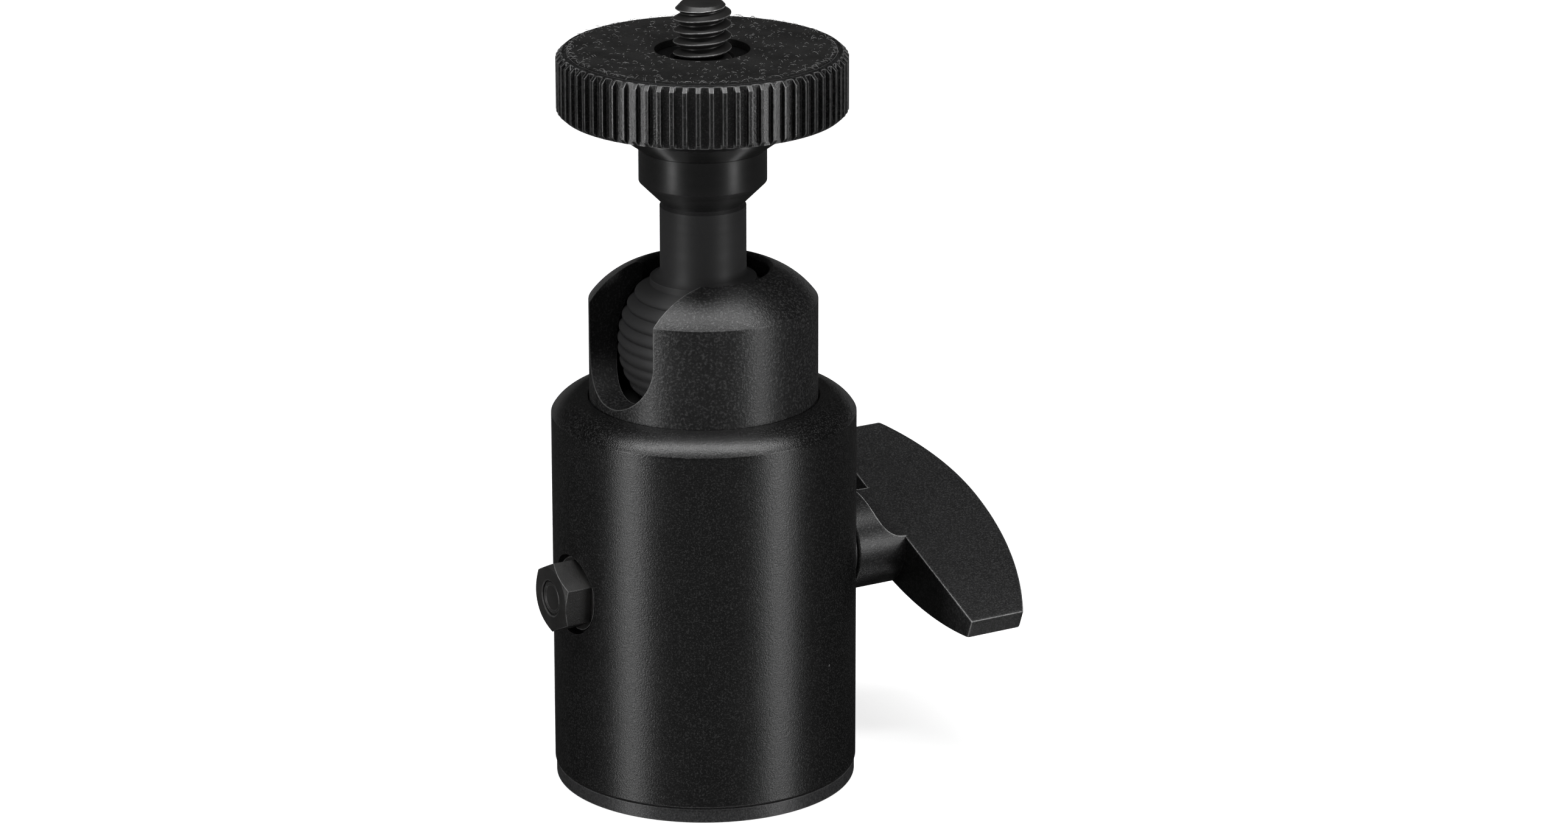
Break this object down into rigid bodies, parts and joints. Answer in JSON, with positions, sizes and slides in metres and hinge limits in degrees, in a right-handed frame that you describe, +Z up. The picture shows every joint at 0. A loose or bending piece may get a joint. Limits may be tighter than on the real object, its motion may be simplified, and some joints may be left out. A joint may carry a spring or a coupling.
{
  "type": "tripod ball head",
  "caption": "Small ball head: cylindrical body, notched panning cup, ribbed ball on a stem, camera screw with a knurled lock disc, and a two-winged locking lever on a cross shaft.",
  "frame": {"origin": "middle of the flat base, at the mouth of the tripod thread", "axes": "+Z up the body axis to the camera screw, +X along the cross shaft towards the lever, -X towards the nut and the notch"},
  "size_m": [0.0538, 0.0362, 0.0879],
  "materials": {
    "anodised_blasted": "fine bead-blasted black anodised",
    "anodised_smooth": "turned black anodised",
    "anodised_knurl": "knurled black anodised",
    "lever_black": "satin blasted black",
    "black_steel": "black oxide",
    "spring_steel": "bright",
    "plain_aluminium": "machined",
    "bronze": "plain turned",
    "slippery_plastic": "smooth moulded",
    "seat_plastic": "smooth turned",
    "pad_fibre": "fibrous black"
  },
  "bodies": {
    "body": {"housing": "anodised_blasted", "base_plate": "anodised_blasted", "reducer_bush": "black_steel", "base_lock_screw": "black_steel", "pan_washer": "slippery_plastic", "thrust_washer": "slippery_plastic", "shaft_bush_nut_side": "bronze", "shaft_bush_lever_side": "bronze"},
    "cup": {"panning_cup": "anodised_blasted"},
    "stem": {"ball_stem": "anodised_smooth"},
    "screw": {"camera_stud": "black_steel"},
    "hub": {"disc_hub": "anodised_smooth"},
    "disc": {"knurled_disc": "anodised_knurl", "friction_pad": "pad_fibre"},
    "lever_unit": {"lever": "lever_black", "cross_shaft": "black_steel", "lever_pin": "spring_steel", "shaft_nut": "black_steel", "nut_washer": "black_steel"},
    "plunger_unit": {"plunger": "plain_aluminium", "ball_seat": "seat_plastic", "disc_springs": "spring_steel", "cam_follower": "spring_steel"}
  },
  "joints": [
    {"name": "pan_turn", "type": "hinge", "parent": "body", "child": "cup", "pos_m": [0, 0, 0.0377], "axis": [0, 0, 1], "continuous": true},
    {"name": "ball_tilt", "type": "hinge", "parent": "cup", "child": "stem", "pos_m": [0, 0, 0.0499], "axis": [0.1219, -0.9925, 0], "range_deg": [-14, 90]},
    {"name": "camera_turn", "type": "hinge", "parent": "stem", "child": "screw", "pos_m": [0, 0, 0.0718], "axis": [0, 0, 1], "continuous": true},
    {"name": "disc_rise", "type": "slide", "parent": "screw", "child": "hub", "axis": [0, 0, 1], "range_m": [0, 0.00254]},
    {"name": "disc_turn", "type": "hinge", "parent": "hub", "child": "disc", "pos_m": [0, 0, 0.07555], "axis": [0, 0, 1], "range_deg": [0, 720]},
    {"name": "lever_swing", "type": "hinge", "parent": "body", "child": "lever_unit", "pos_m": [0, 0, 0.0235], "axis": [1, 0, 0], "range_deg": [-90, 0]},
    {"name": "plunger_lift", "type": "slide", "parent": "body", "child": "plunger_unit", "axis": [0, 0, 1], "range_m": [-0.00035, 0]}
  ],
  "couplings": [
    {"joint": "disc_turn", "follows": "disc_rise", "rad_per_m": 4947.3},
    {"joint": "lever_swing", "follows": "plunger_lift", "rad_per_m": 4487.9}
  ]
}
